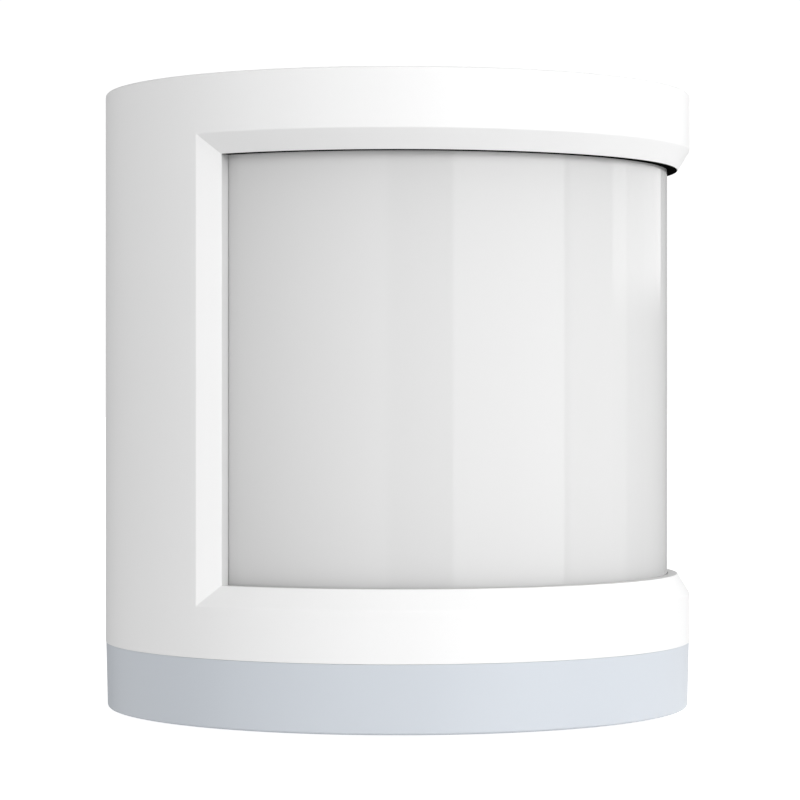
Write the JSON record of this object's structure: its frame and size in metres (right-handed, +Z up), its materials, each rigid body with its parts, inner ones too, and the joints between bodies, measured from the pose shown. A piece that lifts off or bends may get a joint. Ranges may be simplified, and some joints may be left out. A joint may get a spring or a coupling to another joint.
{
  "type": "motion sensor",
  "caption": "Small white cylindrical motion sensor with a curved milky window, a pale blue-grey twist-off base and a coin cell inside.",
  "frame": {"origin": "middle of the adhesive pad's underside, where the sensor rests", "axes": "+Z up along the cylinder's axis, window facing -Y, +X to the right when facing the window's back"},
  "size_m": [0.03, 0.03, 0.0314],
  "materials": {
    "shell_white": "fine satin moulded ABS",
    "lens_milk": "milky translucent polyethylene, satin",
    "seal_black": "soft matte black strip",
    "base_tint": "pale blue-grey satin moulded ABS",
    "adhesive_foam": "acrylic foam tape, matte",
    "inner_white": "moulded ABS, matte",
    "board_laminate": "glass-epoxy laminate with solder mask",
    "tinned_steel": "tinned, satin",
    "nickel_can": "nickel-plated, bright",
    "spring_steel": "nickel-plated spring steel",
    "gold_lead": "gold flash",
    "filter_dark": "dark infrared filter",
    "element_ceramic": "unglazed ceramic",
    "moulded_black": "black epoxy moulding",
    "light_clear": "clear epoxy over white",
    "chip_ceramic": "ceramic with tinned ends",
    "cell_steel": "nickel-plated steel",
    "cell_ring": "polypropylene ring",
    "cell_fill": "pressed pellet",
    "screw_steel": "zinc-plated"
  },
  "bodies": {
    "housing": {"housing_shell": "shell_white", "fresnel_lens": "lens_milk", "top_light_seal": "seal_black", "lens_retainer": "inner_white", "chassis": "inner_white", "chassis_screws": "screw_steel", "main_board": "board_laminate", "sensor_board": "board_laminate", "header_pins": "gold_lead", "pin_carrier": "moulded_black", "detector_spacer": "inner_white", "detector_header": "nickel_can", "detector_can": "nickel_can", "detector_filter": "filter_dark", "detector_element": "element_ceramic", "detector_leads": "gold_lead", "light_sensor": "moulded_black", "status_light": "light_clear", "microcontroller": "moulded_black", "radio_shield": "tinned_steel", "radio_chip": "moulded_black", "chip_antenna": "chip_ceramic", "crystal": "nickel_can", "supply_capacitor": "moulded_black", "chip_capacitors": "chip_ceramic", "chip_resistors": "moulded_black", "contact_negative": "spring_steel", "contact_positive": "spring_steel", "switch_body": "moulded_black"},
    "reset_button": {"reset_plunger": "inner_white"},
    "coin_cell": {"cell_can": "cell_steel", "cell_gasket": "cell_ring", "cell_lid": "cell_steel", "cell_pellet": "cell_fill"},
    "base": {"base_cover": "base_tint", "adhesive_pad": "adhesive_foam"}
  },
  "joints": [
    {"name": "housing_lift", "type": "slide", "parent": "base", "child": "coin_cell", "axis": [0, 0, 1], "range_m": [0, 0.009]},
    {"name": "housing_twist", "type": "hinge", "parent": "coin_cell", "child": "housing", "pos_m": [0, 0, 0], "axis": [0, 0, 1], "range_deg": [0, 90.1]},
    {"name": "button_press", "type": "slide", "parent": "housing", "child": "reset_button", "axis": [0, -1, 0], "range_m": [0, 0.00025], "stiffness_N_per_m": 400}
  ],
  "couplings": [
    {"joint": "housing_twist", "follows": "housing_lift", "rad_per_m": 174.53}
  ]
}
